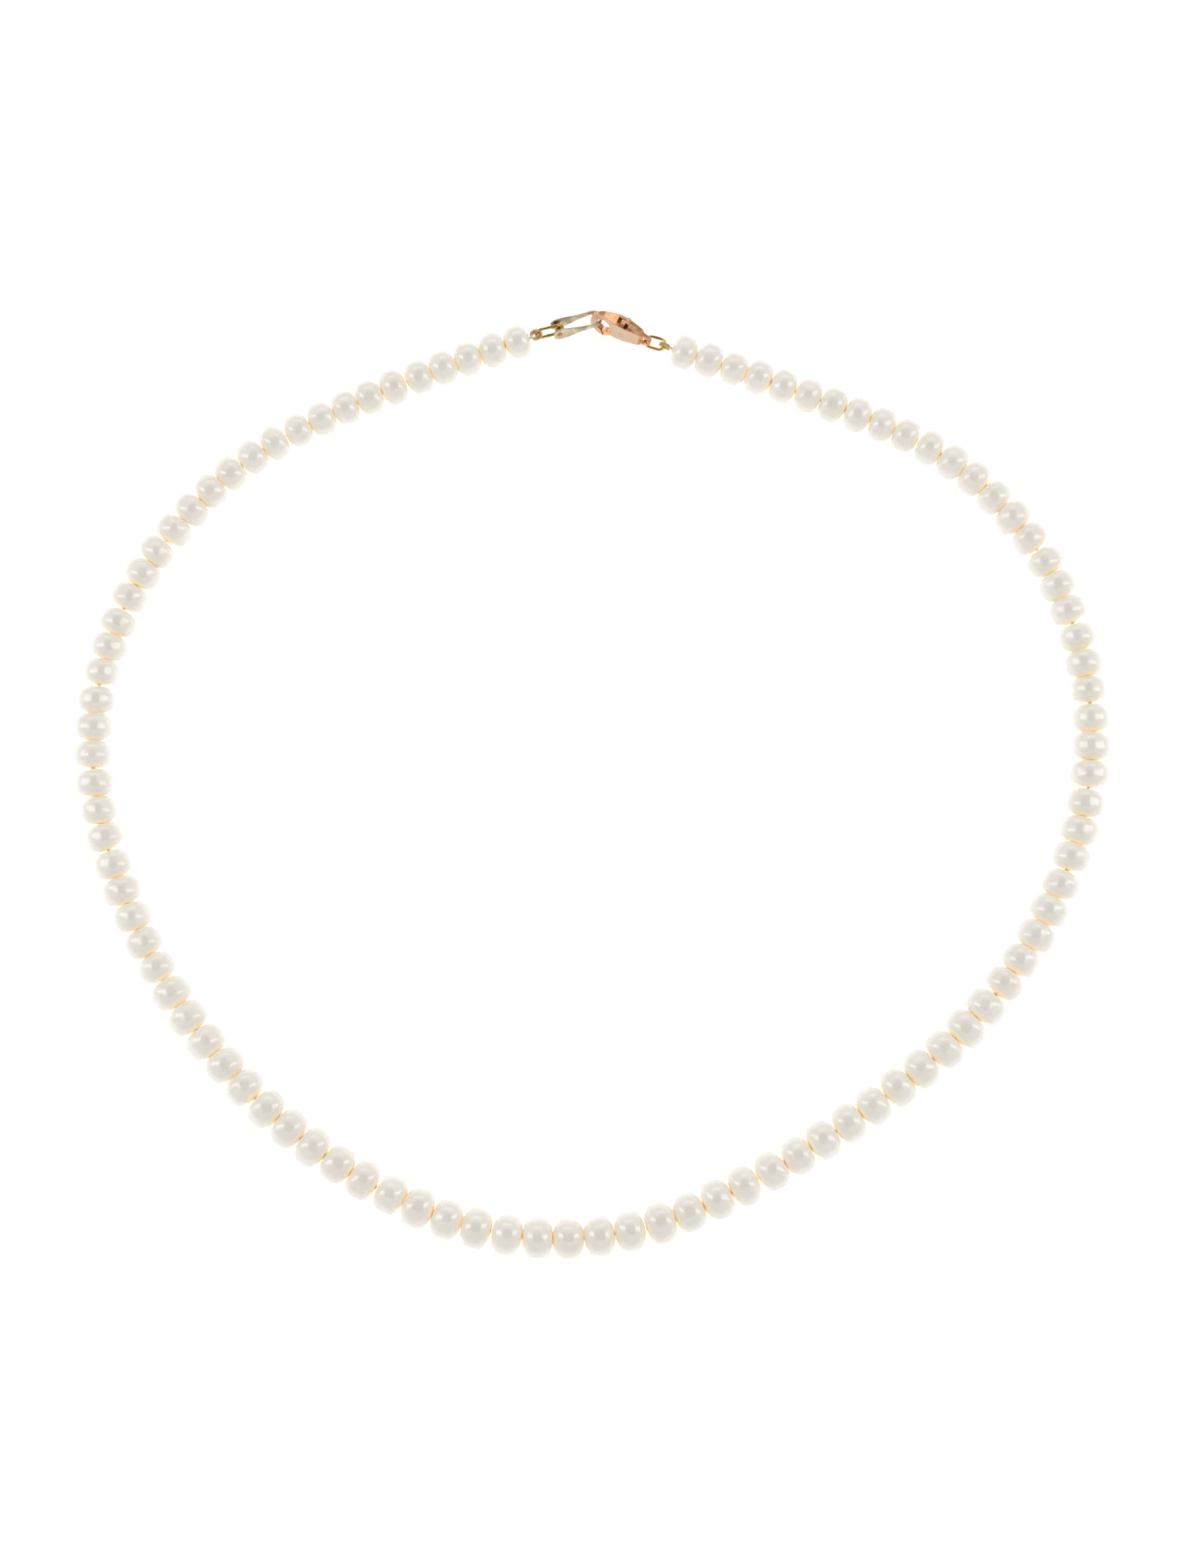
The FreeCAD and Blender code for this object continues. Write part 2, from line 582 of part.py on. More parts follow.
def clasp_body():
    """The hook, the two cheeks and the tail eye, cast in one piece."""
    outside = size("hook_radius")
    inside = size("eye_radius")
    tail = size("tail_radius")
    drop = outside - TAIL[1]
    back = ((TAIL[0] - HOOK[0]) ** 2 + drop ** 2 - tail ** 2) / (2 * (drop - tail))
    back_centre = (HOOK[0], outside - back)
    back_angle = bearing(back_centre, TAIL)
    tip_out = circles_meet(HOOK, outside, PIVOT, size("tip_reach"))
    tip_in = circles_meet(HOOK, inside, PIVOT, size("tip_reach"))
    jaw_in = polar(HOOK, inside, size("jaw_angle"))
    jaw = polar(HOOK, outside - 0.16, size("jaw_angle"))
    span = math.hypot(TAIL[0] - jaw[0], TAIL[1] - jaw[1])
    belly = bearing(jaw, TAIL) - math.degrees(math.asin(tail / span))
    belly_end = polar(TAIL, tail, belly - 90)
    body = doc.addObject("PartDesign::Body", "clasp_body")
    sketch = new_sketch(body, "clasp_outline", "XY_Plane")
    outline(sketch, [
        arc(HOOK, outside, 90, 360 + bearing(HOOK, tip_out)),
        arc(PIVOT, size("tip_reach"), 360 + bearing(PIVOT, tip_in), 360 + bearing(PIVOT, tip_out)),
        arc(HOOK, inside, size("jaw_angle"), 360 + bearing(HOOK, tip_in)),
        line(jaw_in, jaw),
        line(jaw, belly_end),
        arc(TAIL, tail, belly - 90, back_angle),
        arc(back_centre, back, back_angle, 90),
    ])
    pad = body.newObject("PartDesign::Pad", "clasp_pad")
    pad.Profile = sketch
    pad.Midplane = True
    pad.setExpression("Length", "sizes.claw_thickness")
    doc.recompute()
    full = size("claw_thickness") / 2
    cheeks = [(-0.1, 0.3), (0.9, 0.36), (2.2, 0.6), (3.6, full), (5.3, full), (7.4, 0.66), (7.85, 0.3),
              (9.4, 0.28), (9.4, full + 0.2), (-0.1, full + 0.2)]
    cut_through(body, "front_taper", "XZ_Plane", cheeks)
    cut_through(body, "back_taper", "XZ_Plane", [flip(corner) for corner in cheeks])
    slot = [(size("slot_start"), 3), (size("slot_start"), 0.35), (2.9, -0.2), (2.9, -3),
            (size("slot_end"), -3), (size("slot_end"), 3)]
    cut_through(body, "lever_slot", "XY_Plane", slot, "sizes.slot_width")
    holes = new_sketch(body, "clasp_holes", "XY_Plane")
    holes.addGeometry(Part.Circle(Vector(TAIL[0], TAIL[1], 0), UP, size("tail_hole_radius")), False)
    holes.addGeometry(Part.Circle(Vector(PIVOT[0], PIVOT[1], 0), UP, size("pin_radius")), False)
    bind(holes, Sketcher.Constraint("Radius", 0, size("tail_hole_radius")), "eye", "sizes.tail_hole_radius")
    bind(holes, Sketcher.Constraint("Radius", 1, size("pin_radius")), "pin", "sizes.pin_radius")
    pocket(body, holes, "clasp_bores")
    body.Placement = claw_seat.placement
    return keep(body, "clasp_body")


clasp_body()


def clasp_lever():
    """The gate, its hub and the thumb tab in one piece."""
    reach = size("tip_reach") - size("gate_ease")
    outside = size("hook_radius") - 0.02
    inside = size("eye_radius") + 0.08
    tip_in = circles_meet(HOOK, inside, PIVOT, reach)
    tip_out = circles_meet(HOOK, outside, PIVOT, reach)
    arm_out = polar(HOOK, outside, size("jaw_angle"))
    arm_in = polar(HOOK, inside, size("jaw_angle"))
    hub_and_tab = [arm_out, (4.7, -0.62), (5.45, -0.3), (5.95, 0.5), (6.6, 1.42), (5.5, 1.72),
                   (5.52, 2.78), (5.04, 2.84), (4.92, 1.84), (4.3, 1.92), (4.12, 1.2), (4.1, 0.3),
                   (3.75, -0.35), arm_in]
    body = doc.addObject("PartDesign::Body", "clasp_lever")
    sketch = new_sketch(body, "lever_outline", "XY_Plane")
    outline(sketch, [
        arc(PIVOT, reach, 360 + bearing(PIVOT, tip_in), 360 + bearing(PIVOT, tip_out)),
        arc(HOOK, outside, bearing(HOOK, tip_out), size("jaw_angle")),
        arc(HOOK, inside, bearing(HOOK, tip_in), size("jaw_angle")),
    ] + polygon(hub_and_tab)[:-1])
    pad = body.newObject("PartDesign::Pad", "lever_pad")
    pad.Profile = sketch
    pad.Midplane = True
    pad.setExpression("Length", "sizes.lever_thickness")
    doc.recompute()
    bore = new_sketch(body, "lever_bore_outline", "XY_Plane")
    bore.addGeometry(Part.Circle(Vector(PIVOT[0], PIVOT[1], 0), UP, size("lever_bore_radius")), False)
    bind(bore, Sketcher.Constraint("Radius", 0, size("lever_bore_radius")), "bore", "sizes.lever_bore_radius")
    pocket(body, bore, "lever_bore")
    nest = new_sketch(body, "spring_nest_outline", "XY_Plane")
    nest.addGeometry(Part.Circle(Vector(PIVOT[0], PIVOT[1], 0), UP, size("spring_radius") + 0.14), False)
    pocket(body, nest, "spring_nest", "sizes.lever_thickness - 0.36")
    body.Placement = claw_seat.placement
    return keep(body, "clasp_lever")


clasp_lever()

pin = doc.addObject("Part::Cylinder", "lever_pin")
pin.setExpression("Radius", "sizes.pin_radius")
pin.setExpression("Height", "sizes.claw_thickness")
pin.Placement = claw_seat.placement.multiply(
    FreeCAD.Placement(Vector(PIVOT[0], PIVOT[1], -size("claw_thickness") / 2), FreeCAD.Rotation()))
keep(pin, "lever_pin")


def lever_spring():
    """The torsion spring that shuts the gate: a close coil round the rivet."""
    turns = size("spring_turns")
    pitch = 2.4 * size("spring_wire_radius")
    helix = Part.makeHelix(pitch, turns * pitch, size("spring_radius"))
    obj = doc.addObject("Part::Feature", "lever_spring")
    obj.Shape = pipe(Part.Wire(helix.Edges), size("spring_wire_radius"))
    local = FreeCAD.Placement(Vector(PIVOT[0], PIVOT[1], -turns * pitch / 2), FreeCAD.Rotation())
    obj.Placement = claw_seat.placement.multiply(local)
    return keep(obj, "lever_spring")


lever_spring()

doc.recompute()
bad = [o.Name for o in doc.Objects if "Invalid" in o.State or "Error" in o.State]
if bad:
    raise SystemExit("objects that failed: %s" % bad)
os.makedirs("parts", exist_ok=True)
for node in nodes:
    if node.Shape.isNull() or not node.Shape.isValid():
        raise SystemExit("%s has no valid shape" % node.Label)
    node.Shape.exportStep(os.path.join("parts", node.Label + ".step"))
print("pieces:", len(nodes))
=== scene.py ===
import json
import math
import bmesh
import bpy
import numpy as np
from mathutils import Matrix, Quaternion, Vector

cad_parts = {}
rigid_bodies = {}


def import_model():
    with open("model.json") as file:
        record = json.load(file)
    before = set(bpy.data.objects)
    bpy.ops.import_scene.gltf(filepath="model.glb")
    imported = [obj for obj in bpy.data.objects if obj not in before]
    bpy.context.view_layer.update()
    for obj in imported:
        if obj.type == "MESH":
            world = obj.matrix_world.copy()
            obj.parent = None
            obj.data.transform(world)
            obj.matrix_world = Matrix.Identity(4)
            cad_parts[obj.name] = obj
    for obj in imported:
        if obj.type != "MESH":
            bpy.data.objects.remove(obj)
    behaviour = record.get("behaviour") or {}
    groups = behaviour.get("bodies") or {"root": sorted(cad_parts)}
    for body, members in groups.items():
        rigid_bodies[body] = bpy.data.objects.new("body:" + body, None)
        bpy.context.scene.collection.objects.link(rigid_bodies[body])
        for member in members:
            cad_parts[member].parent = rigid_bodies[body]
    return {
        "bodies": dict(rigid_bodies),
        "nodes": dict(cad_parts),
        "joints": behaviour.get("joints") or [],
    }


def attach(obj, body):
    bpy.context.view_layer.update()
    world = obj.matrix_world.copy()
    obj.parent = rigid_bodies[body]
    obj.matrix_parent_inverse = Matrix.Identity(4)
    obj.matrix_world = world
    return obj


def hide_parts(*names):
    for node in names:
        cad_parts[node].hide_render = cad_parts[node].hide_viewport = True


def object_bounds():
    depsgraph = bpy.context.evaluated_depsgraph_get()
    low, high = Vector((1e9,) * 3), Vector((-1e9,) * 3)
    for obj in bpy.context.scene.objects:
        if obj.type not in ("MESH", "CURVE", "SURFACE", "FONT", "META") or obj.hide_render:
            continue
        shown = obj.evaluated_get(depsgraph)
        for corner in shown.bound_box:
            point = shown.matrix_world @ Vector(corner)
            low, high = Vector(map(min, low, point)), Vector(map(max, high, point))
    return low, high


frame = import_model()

cad_low, cad_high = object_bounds()


# ------------------------------------------------------------------ camera
# The strand is looked down on from slightly in front of its lowest pearl,
# so that the whole loop lies flat in view with the clasp at the top.
CAMERA_ELEVATION = math.radians(80)
CAMERA_DISTANCE = 0.6
LENS_MM = 99.85
look_at = (cad_low + cad_high) / 2 + Vector((0.0002, -0.0011, -0.0004))
camera_data = bpy.data.cameras.new("camera")
camera_data.lens = LENS_MM
camera_data.sensor_width = 36
camera_data.clip_start = 0.01
camera = bpy.data.objects.new("camera", camera_data)
bpy.context.scene.collection.objects.link(camera)
away = Vector((0, -math.cos(CAMERA_ELEVATION), math.sin(CAMERA_ELEVATION)))
camera.location = look_at + away * CAMERA_DISTANCE
camera.rotation_euler = (-away).to_track_quat("-Z", "Y").to_euler()
bpy.context.scene.camera = camera


# ------------------------------------------------------------------ studio
# A seamless white table under two long softboxes, left and right, with a weak
# one beyond the clasp. A dark card overhead leaves each pearl a darker middle.
bpy.context.scene.view_settings.view_transform = "Standard"
world = bpy.data.worlds.new("studio_air")
world.use_nodes = True
world.node_tree.nodes["Background"].inputs["Color"].default_value = (1.0, 0.985, 0.96, 1)
world.node_tree.nodes["Background"].inputs["Strength"].default_value = 0.75
bpy.context.scene.world = world


def softbox(name, place, width, length, watts):
    """A rectangular diffused lamp turned towards the strand."""
    lamp = bpy.data.lights.new(name, "AREA")
    lamp.shape = "RECTANGLE"
    lamp.size = width
    lamp.size_y = length
    lamp.energy = watts
    lamp.color = (1.0, 0.985, 0.96)
    obj = bpy.data.objects.new(name, lamp)
    bpy.context.scene.collection.objects.link(obj)
    obj.location = place
    obj.rotation_euler = (-Vector(place)).to_track_quat("-Z", "Y").to_euler()


softbox("softbox_left", (-0.50, 0.05, 0.50), 0.26, 0.9, 1.25)
softbox("softbox_right", (0.50, 0.05, 0.50), 0.26, 0.9, 1.25)
softbox("softbox_clasp_end", (0.0, 0.65, 0.45), 0.6, 0.2, 0.35)

floor_mesh = bpy.data.meshes.new("table")
TABLE = 3.0
floor_mesh.from_pydata([(-TABLE, -TABLE, 0), (TABLE, -TABLE, 0), (TABLE, TABLE, 0), (-TABLE, TABLE, 0)],
                       [], [(0, 1, 2, 3)])
floor = bpy.data.objects.new("table", floor_mesh)
bpy.context.scene.collection.objects.link(floor)
white = bpy.data.materials.new("white_table")
white.use_nodes = True
white_shader = white.node_tree.nodes["Principled BSDF"]
white_shader.inputs["Base Color"].default_value = (0.95, 0.95, 0.95, 1)
white_shader.inputs["Roughness"].default_value = 0.9
white_shader.inputs["Specular IOR Level"].default_value = 0.1
white_shader.inputs["Emission Color"].default_value = (1, 1, 1, 1)
white_shader.inputs["Emission Strength"].default_value = 0.45
floor_mesh.materials.append(white)

# A dark card above the lens, which polished things below reflect as a darker middle.
CARD_HEIGHT = 0.70
CARD_RADIUS = 0.40
CARD_SIDES = 32
card_mesh = bpy.data.meshes.new("dark_card")
corners = [2 * math.pi * i / CARD_SIDES for i in range(CARD_SIDES)]
rim = [(CARD_RADIUS * math.cos(a), CARD_RADIUS * math.sin(a), CARD_HEIGHT) for a in corners]
card_mesh.from_pydata(rim, [], [tuple(range(CARD_SIDES))])
card = bpy.data.objects.new("dark_card", card_mesh)
bpy.context.scene.collection.objects.link(card)
black = bpy.data.materials.new("black_card")
black.use_nodes = True
black.node_tree.nodes["Principled BSDF"].inputs["Base Color"].default_value = (0.03, 0.03, 0.03, 1)
black.node_tree.nodes["Principled BSDF"].inputs["Roughness"].default_value = 0.9
card_mesh.materials.append(black)


# ------------------------------------------------------------------ pearls
# Ninety-nine freshwater pearls, each grown a little out of true and drilled
# through its short way. They touch along the silk and bend at the hinged gaps.
def graph(material_name):
    """A new node material, its tree and its shader."""
    material = bpy.data.materials.new(material_name)
    material.use_nodes = True
    tree = material.node_tree
    return material, tree, tree.nodes["Principled BSDF"]


def wire(tree, start, out, end, into):
    """Join two sockets of a node tree."""
    tree.links.new(start.outputs[out], end.inputs[into])


def ramp(tree, stops):
    """A colour ramp through some (place, colour) stops."""
    node = tree.nodes.new("ShaderNodeValToRGB")
    elements = node.color_ramp.elements
    while len(elements) < len(stops):
        elements.new(0.5)
    for element, (place, colour) in zip(elements, stops):
        element.position = place
        element.color = (*colour, 1)
    return node


def noise(tree, scale, detail=3.0, roughness=0.5):
    """A noise texture with the given grain."""
    node = tree.nodes.new("ShaderNodeTexNoise")
    node.inputs["Scale"].default_value = scale
    node.inputs["Detail"].default_value = detail
    node.inputs["Roughness"].default_value = roughness
    return node


def attribute(tree, name):
    """A value stored on the mesh."""
    node = tree.nodes.new("ShaderNodeAttribute")
    node.attribute_name = name
    return node


def mixed(tree, kind, factor=0.5):
    """A colour mix of the given kind."""
    node = tree.nodes.new("ShaderNodeMix")
    node.data_type = "RGBA"
    node.blend_type = kind
    node.inputs[0].default_value = factor
    return node


def bump(tree, strength, distance):
    """A bump node of the given depth in metres."""
    node = tree.nodes.new("ShaderNodeBump")
    node.inputs["Strength"].default_value = strength
    node.inputs["Distance"].default_value = distance
    return node


def nacre():
    """Layered nacre: satin body, clear lustre on top, and a painted warm colour and glow near the drill
    holes that stand in for light through the nacre and between touching pearls.
    """
    material, tree, shader = graph("nacre")
    pole = attribute(tree, "pole")
    # The pearl's own cream colour, turning to a painted warm yellow near the drill holes: painted light
    # where the pearls touch.
    body = ramp(tree, [(0.0, (0.93, 0.905, 0.86)), (0.55, (0.925, 0.89, 0.82)),
                       (0.80, (0.95, 0.87, 0.70)), (1.0, (0.96, 0.80, 0.52))])
    wire(tree, pole, "Fac", body, "Fac")
    # A painted glow near the drill holes, lighting the shade where the pearls touch.
    painted_glow = ramp(tree, [(0.42, (0.0, 0.0, 0.0)), (0.85, (0.17, 0.17, 0.17))])
    wire(tree, pole, "Fac", painted_glow, "Fac")
    wire(tree, painted_glow, "Color", shader, "Emission Strength")
    shader.inputs["Emission Color"].default_value = (1.0, 0.86, 0.68, 1)
    tint = ramp(tree, [(0.0, (1.0, 0.982, 0.974)), (0.5, (1.0, 1.0, 1.0)), (1.0, (0.985, 0.995, 0.972))])
    wire(tree, attribute(tree, "blush"), "Fac", tint, "Fac")
    tinted = mixed(tree, "MULTIPLY", 1.0)
    wire(tree, body, "Color", tinted, 6)
    wire(tree, tint, "Color", tinted, 7)
    place = tree.nodes.new("ShaderNodeTexCoord")
    cloud = noise(tree, 420.0, 2.0)
    wire(tree, place, "Object", cloud, "Vector")
    clouded = ramp(tree, [(0.3, (0.965, 0.955, 0.94)), (0.7, (1.0, 1.0, 1.0))])
    wire(tree, cloud, "Fac", clouded, "Fac")
    coloured = mixed(tree, "MULTIPLY", 1.0)
    wire(tree, tinted, 2, coloured, 6)
    wire(tree, clouded, "Color", coloured, 7)
    wire(tree, coloured, 2, shader, "Base Color")
    satin = noise(tree, 900.0, 3.0)
    wire(tree, place, "Object", satin, "Vector")
    satin_range = tree.nodes.new("ShaderNodeMapRange")
    satin_range.inputs["To Min"].default_value = 0.14
    satin_range.inputs["To Max"].default_value = 0.26
    wire(tree, satin, "Fac", satin_range, "Value")
    wire(tree, satin_range, "Result", shader, "Roughness")
    wrinkle = noise(tree, 1500.0, 4.0, 0.6)
    wire(tree, place, "Object", wrinkle, "Vector")
    pits = tree.nodes.new("ShaderNodeTexVoronoi")
    pits.inputs["Scale"].default_value = 1100.0
    wire(tree, place, "Object", pits, "Vector")
    pit_depth = ramp(tree, [(0.0, (0.0, 0.0, 0.0)), (0.10, (1.0, 1.0, 1.0))])
    wire(tree, pits, "Distance", pit_depth, "Fac")
    wrinkled = bump(tree, 0.22, 0.00005)
    wire(tree, wrinkle, "Fac", wrinkled, "Height")
    pitted = bump(tree, 0.18, 0.00003)
    wire(tree, pit_depth, "Color", pitted, "Height")
    wire(tree, wrinkled, "Normal", pitted, "Normal")
    wire(tree, pitted, "Normal", shader, "Normal")
    shader.inputs["IOR"].default_value = 1.56
    shader.inputs["Specular IOR Level"].default_value = 0.8
    shader.inputs["Coat Weight"].default_value = 1.0
    shader.inputs["Coat Roughness"].default_value = 0.13
    shader.inputs["Subsurface Weight"].default_value = 0.3
    shader.inputs["Subsurface Radius"].default_value = (1.0, 0.72, 0.42)
    shader.inputs["Subsurface Scale"].default_value = 0.0009
    return material


def turned_pearl():
    """One pearl of unit size about its drill hole: a full-bodied oval with a drilled bore."""
    fullness = 2.75
    around = 40
    down = 24
    mouth = 0.16
    lip = 0.125
    profile = []
    for step in range(down + 1):
        angle = mouth + (math.pi - 2 * mouth) * step / down
        radial = math.sin(angle)
        along = math.cos(angle)
        swell = (abs(radial) ** fullness + abs(along) ** fullness) ** (-1 / fullness)
        profile.append((radial * swell, along * swell))
    end = profile[0][1] - 0.05
    profile = [(lip, end)] + profile + [(lip, -end)]
    points = []
    for radial, along in profile:
        for step in range(around):
            turn = 2 * math.pi * step / around
            points.append((radial * math.cos(turn), radial * math.sin(turn), along))
    faces = []
    rows = len(profile)
    for row in range(rows):
        below = (row + 1) % rows
        for step in range(around):
            ahead = (step + 1) % around
            faces.append((row * around + step, below * around + step,
                          below * around + ahead, row * around + ahead))
    mesh = bpy.data.meshes.new("turned_pearl")
    mesh.from_pydata(points, [], faces)
    skin = mesh.attributes.new("skin", "FLOAT_VECTOR", "POINT")
    skin.data.foreach_set("vector", np.array(points, float).ravel())
    # pole: nearness to the drill holes, where the nacre paints a warm glow standing in for light where the
    # pearls touch.
    pole = mesh.attributes.new("pole", "FLOAT", "POINT")
    painted_warm_glow = [abs(p[2]) ** 1.5 * (1.15 - 0.6 * math.hypot(p[0], p[1])) for p in points]
    pole.data.foreach_set("value", [min(w, 1) for w in painted_warm_glow])
    for polygon in mesh.polygons:
        polygon.use_smooth = True
    obj = bpy.data.objects.new("turned_pearl", mesh)
    bpy.context.scene.collection.objects.link(obj)
    return obj


def stringing_tree():
    """Sets a pearl on every point of a strand, then grows each one out of true."""
    tree = bpy.data.node_groups.new("string_of_pearls", "GeometryNodeTree")
    face = tree.interface
    face.new_socket("Strand", in_out="INPUT", socket_type="NodeSocketGeometry")
    face.new_socket("Pearl", in_out="INPUT", socket_type="NodeSocketObject")
    face.new_socket("Out of true", in_out="INPUT", socket_type="NodeSocketFloat")
    face.new_socket("Growth size", in_out="INPUT", socket_type="NodeSocketFloat")
    face.new_socket("Nacre", in_out="INPUT", socket_type="NodeSocketMaterial")
    face.new_socket("Pearls", in_out="OUTPUT", socket_type="NodeSocketGeometry")
    given = tree.nodes.new("NodeGroupInput")
    made = tree.nodes.new("NodeGroupOutput")
    source = tree.nodes.new("GeometryNodeObjectInfo")
    wire(tree, given, "Pearl", source, "Object")

    def stored(name, kind):
        node = tree.nodes.new("GeometryNodeInputNamedAttribute")
        node.data_type = kind
        node.inputs["Name"].default_value = name
        return node

    strung = tree.nodes.new("GeometryNodeInstanceOnPoints")
    wire(tree, given, "Strand", strung, "Points")
    wire(tree, source, "Geometry", strung, "Instance")
    wire(tree, stored("turn", "FLOAT_VECTOR"), "Attribute", strung, "Rotation")
    wire(tree, stored("grown", "FLOAT_VECTOR"), "Attribute", strung, "Scale")
    real = tree.nodes.new("GeometryNodeRealizeInstances")
    wire(tree, strung, "Instances", real, "Geometry")
    growth = tree.nodes.new("ShaderNodeTexNoise")
    growth.noise_dimensions = "4D"
    growth.inputs["Detail"].default_value = 1.0
    wire(tree, stored("skin", "FLOAT_VECTOR"), "Attribute", growth, "Vector")
    wire(tree, stored("seed", "FLOAT"), "Attribute", growth, "W")
    wire(tree, given, "Growth size", growth, "Scale")
    centred = tree.nodes.new("ShaderNodeMath")
    centred.operation = "SUBTRACT"
    centred.inputs[1].default_value = 0.5
    wire(tree, growth, "Fac", centred, 0)
    amount = tree.nodes.new("ShaderNodeMath")
    amount.operation = "MULTIPLY"
    wire(tree, centred, "Value", amount, 0)
    wire(tree, given, "Out of true", amount, 1)
    push = tree.nodes.new("ShaderNodeVectorMath")
    push.operation = "SCALE"
    wire(tree, tree.nodes.new("GeometryNodeInputNormal"), "Normal", push, 0)
    wire(tree, amount, "Value", push, "Scale")
    moved = tree.nodes.new("GeometryNodeSetPosition")
    wire(tree, real, "Geometry", moved, "Geometry")
    wire(tree, push, "Vector", moved, "Offset")
    finished = tree.nodes.new("GeometryNodeSetMaterial")
    wire(tree, moved, "Geometry", finished, "Geometry")
    wire(tree, given, "Nacre", finished, "Material")
    wire(tree, finished, "Geometry", made, "Pearls")
    return tree


def grown(obj, tree, inputs, name):
    """Run a node tree on an object and keep the result as a plain mesh piece."""
    modifier = obj.modifiers.new("making", "NODES")
    modifier.node_group = tree
    sockets = {s.name: s.identifier for s in tree.interface.items_tree if s.in_out == "INPUT"}
    for label, value in inputs.items():
        modifier[sockets[label]] = value
    bpy.context.view_layer.update()
    depsgraph = bpy.context.evaluated_depsgraph_get()
    mesh = bpy.data.meshes.new_from_object(obj.evaluated_get(depsgraph), depsgraph=depsgraph)
    bpy.data.objects.remove(obj)
    piece = bpy.data.objects.new(name, mesh)
    bpy.context.scene.collection.objects.link(piece)
    return piece


def corner_points(node):
    """A CAD node's triangles as an array of corner points."""
    mesh = frame["nodes"][node].data
    mesh.calc_loop_triangles()
    points = np.empty(len(mesh.vertices) * 3)
    mesh.vertices.foreach_get("co", points)
    corners = np.empty(len(mesh.loop_triangles) * 3, np.int64)
    mesh.loop_triangles.foreach_get("vertices", corners)
    return points.reshape(-1, 3), corners.reshape(-1, 3)


def drilled_places(node):
    """Each pearl of a CAD node: middle, drill direction, width and depth."""
    points, triangles = corner_points(node)
    _, merged = np.unique(np.round(points * 1e6), axis=0, return_inverse=True)
    merged = merged.ravel()[triangles]
    label = np.arange(merged.max() + 1)
    while True:
        lowest = label[merged].min(axis=1)
        update = label.copy()
        for corner in range(3):
            np.minimum.at(update, merged[:, corner], lowest)
        update = update[update]
        if np.array_equal(update, label):
            break
        label = update
    owner = label[merged[:, 0]]
    places = []
    for island in np.unique(owner):
        corners = points[triangles[owner == island]]
        area = np.linalg.norm(np.cross(corners[:, 1] - corners[:, 0], corners[:, 2] - corners[:, 0]), axis=1)
        spots = corners.mean(axis=1)
        middle = (spots * area[:, None]).sum(axis=0) / area.sum()
        spread = ((spots - middle) * area[:, None]).T @ (spots - middle)
        drill = np.linalg.eigh(spread)[1][:, 0]
        reach = (corners.reshape(-1, 3) - middle) @ drill
        across = np.linalg.norm(corners.reshape(-1, 3) - middle - np.outer(reach, drill), axis=1)
        places.append((middle, drill, 2 * across.max(), reach.max() - reach.min()))
    far = max(places, key=lambda p: np.linalg.norm(p[0] - np.mean([q[0] for q in places], axis=0)))
    heading = [far]
    rest = [p for p in places if p is not far]
    while rest:
        near = min(rest, key=lambda p: np.linalg.norm(p[0] - heading[-1][0]))
        heading.append(near)
        rest = [p for p in rest if p is not near]
    return heading


NEIGHBOUR_EASE = 0.00015
# The sections that lift by the most leave their end pearls a little more room.
DRAPED = ("04", "05", "06", "07")
DRAPE_EASE = 0.00006
# How unevenly they sit and grow: lean and nod on the silk, width, and roundness.
LEAN = math.radians(1.92)
NOD = math.radians(0.96)
MEAN_WIDTH = 0.97
WIDEST = 0.985
WIDTH_SPREAD = 0.016
ROUNDNESS_SPREAD = 0.012
BLUSH_SPREAD = 0.24
nacre_finish = nacre()
pearl_form = turned_pearl()
stringing = stringing_tree()
chance = np.random.default_rng(1999)
strand_bodies = [b for b in frame["bodies"] if b.startswith("strand_")]
for body in sorted(strand_bodies):
    section = body.replace("strand_", "")
    node = "pearls_" + section
    places = drilled_places(node)
    centres, turns, sizes, seeds, blushes = [], [], [], [], []
    for index, (middle, drill, width, depth) in enumerate(places):
        before = index > 0
        after = index < len(places) - 1
        drill = Vector(drill)
        if index + 1 < len(places) and drill.dot(Vector(places[index + 1][0] - middle)) < 0:
            drill = -drill
        if index + 1 == len(places) and index and drill.dot(Vector(middle - places[index - 1][0])) < 0:
            drill = -drill
        grow = NEIGHBOUR_EASE / 2
        room = DRAPE_EASE if section[-2:] in DRAPED else 0.0
        centre = Vector(middle) + drill * (grow + room) / 2 * (after - before)
        lean = Quaternion((0, 0, 1), chance.normal(0, LEAN))
        nod = Quaternion(Vector((drill.y, -drill.x, 0)).normalized(), chance.normal(0, NOD))
        axis = lean @ nod @ drill
        spin = Quaternion((0, 0, 1), chance.uniform(0, 2 * math.pi))
        turn = (Vector((0, 0, 1)).rotation_difference(axis) @ spin).to_euler()
        across = width / 2 * (MEAN_WIDTH + chance.normal(0, WIDTH_SPREAD))
        across = min(across, width / 2 * WIDEST)
        centres.append(centre)
        turns.append(tuple(turn))
        sizes.append((across, across * (1 + chance.normal(0, ROUNDNESS_SPREAD)),
                      (depth + grow * (before + after) - room * (2 - before - after)) / 2))
        seeds.append(chance.uniform(0, 90))
        blushes.append(float(np.clip(chance.normal(0.5, BLUSH_SPREAD), 0, 1)))
    mesh = bpy.data.meshes.new(node + "_places")
    mesh.from_pydata([tuple(c) for c in centres], [], [])
    for name, kind, field, values in (("turn", "FLOAT_VECTOR", "vector", turns),
                                      ("grown", "FLOAT_VECTOR", "vector", sizes),
                                      ("seed", "FLOAT", "value", seeds),
                                      ("blush", "FLOAT", "value", blushes)):
        stored_value = mesh.attributes.new(name, kind, "POINT")
        stored_value.data.foreach_set(field, np.array(values, float).ravel())
    strand = bpy.data.objects.new(node + "_places", mesh)
    bpy.context.scene.collection.objects.link(strand)
    inputs = {"Pearl": pearl_form, "Out of true": 0.00034, "Growth size": 0.85, "Nacre": nacre_finish}
    pearls = grown(strand, stringing, inputs, "strung_" + section)
    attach(pearls, body)
    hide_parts(node)
bpy.data.objects.remove(pearl_form)


